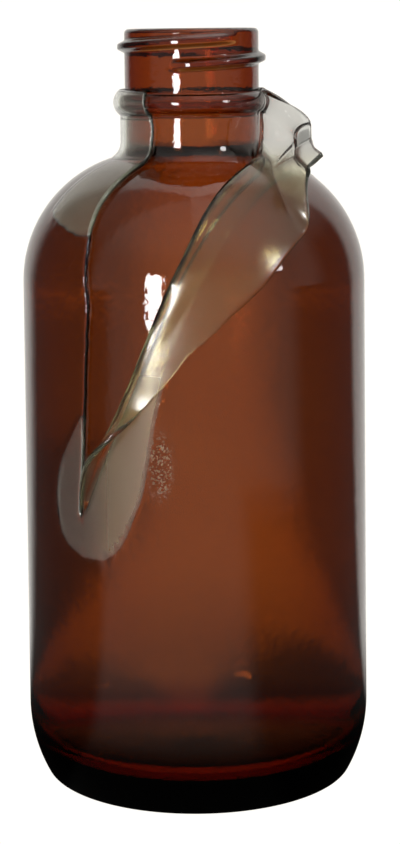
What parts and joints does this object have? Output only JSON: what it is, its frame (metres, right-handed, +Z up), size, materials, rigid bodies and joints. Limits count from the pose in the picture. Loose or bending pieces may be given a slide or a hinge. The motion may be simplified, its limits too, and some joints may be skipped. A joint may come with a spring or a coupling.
{
  "type": "coated bottle",
  "caption": "Small amber glass Boston round bottle with an open screw finish, in a clear safety coating that is slit down the front and peeled back as a flap.",
  "frame": {"origin": "centre of the base on the bottle's axis, at the height of the surface it stands on", "axes": "+Z up along the bottle's axis, -Y towards the cut front, +X towards the peeled flap"},
  "size_m": [0.0632, 0.0667, 0.1385],
  "materials": {
    "amber_glass": "gloss",
    "clear_coating": "gloss"
  },
  "bodies": {
    "bottle": {"glass_bottle": "amber_glass", "coating_jacket": "clear_coating"},
    "flap": {"coating_flap": "clear_coating"}
  },
  "joints": [
    {"name": "flap_peel", "type": "hinge", "parent": "bottle", "child": "flap", "pos_m": [-0.0082, -0.0295, 0.0864], "axis": [-0.4225, -0.0402, -0.9055], "range_deg": [0, 22]}
  ]
}
